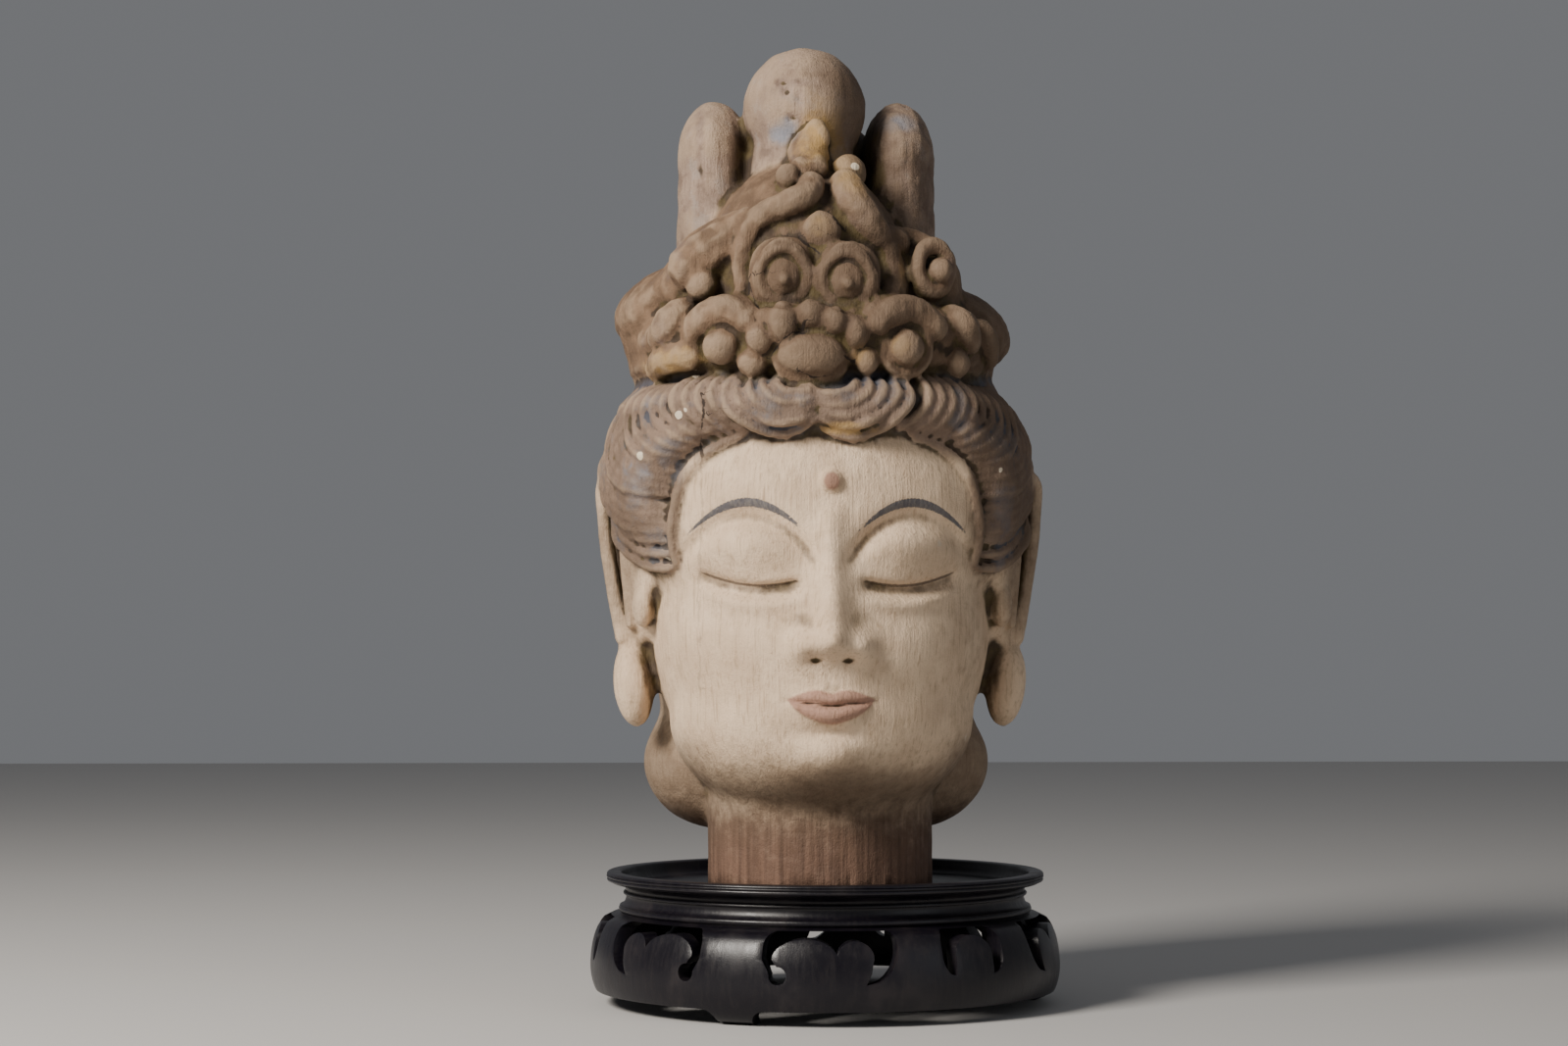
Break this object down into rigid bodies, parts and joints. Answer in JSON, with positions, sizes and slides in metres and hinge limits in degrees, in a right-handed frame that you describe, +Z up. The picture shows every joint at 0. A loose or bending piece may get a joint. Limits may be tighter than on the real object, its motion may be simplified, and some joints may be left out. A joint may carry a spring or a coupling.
{
  "type": "bodhisattva head",
  "caption": "Carved and painted wooden head with a high scrolled crown and looped topknot, standing on its neck in the lipped tray of a low round pierced dark wood stand.",
  "frame": {"origin": "centre of the stand on the surface it stands on", "axes": "+Z up, the face looks along -Y, +X is to the viewer's right"},
  "size_m": [0.19, 0.1899, 0.389],
  "materials": {
    "painted_wood": "worn matt paint over carved wood, dirt in the hollows",
    "dark_wood": "near-black stained and lacquered hardwood, satin gloss"
  },
  "bodies": {
    "root": {"bodhisattva_head": "painted_wood", "display_stand": "dark_wood"}
  },
  "joints": []
}
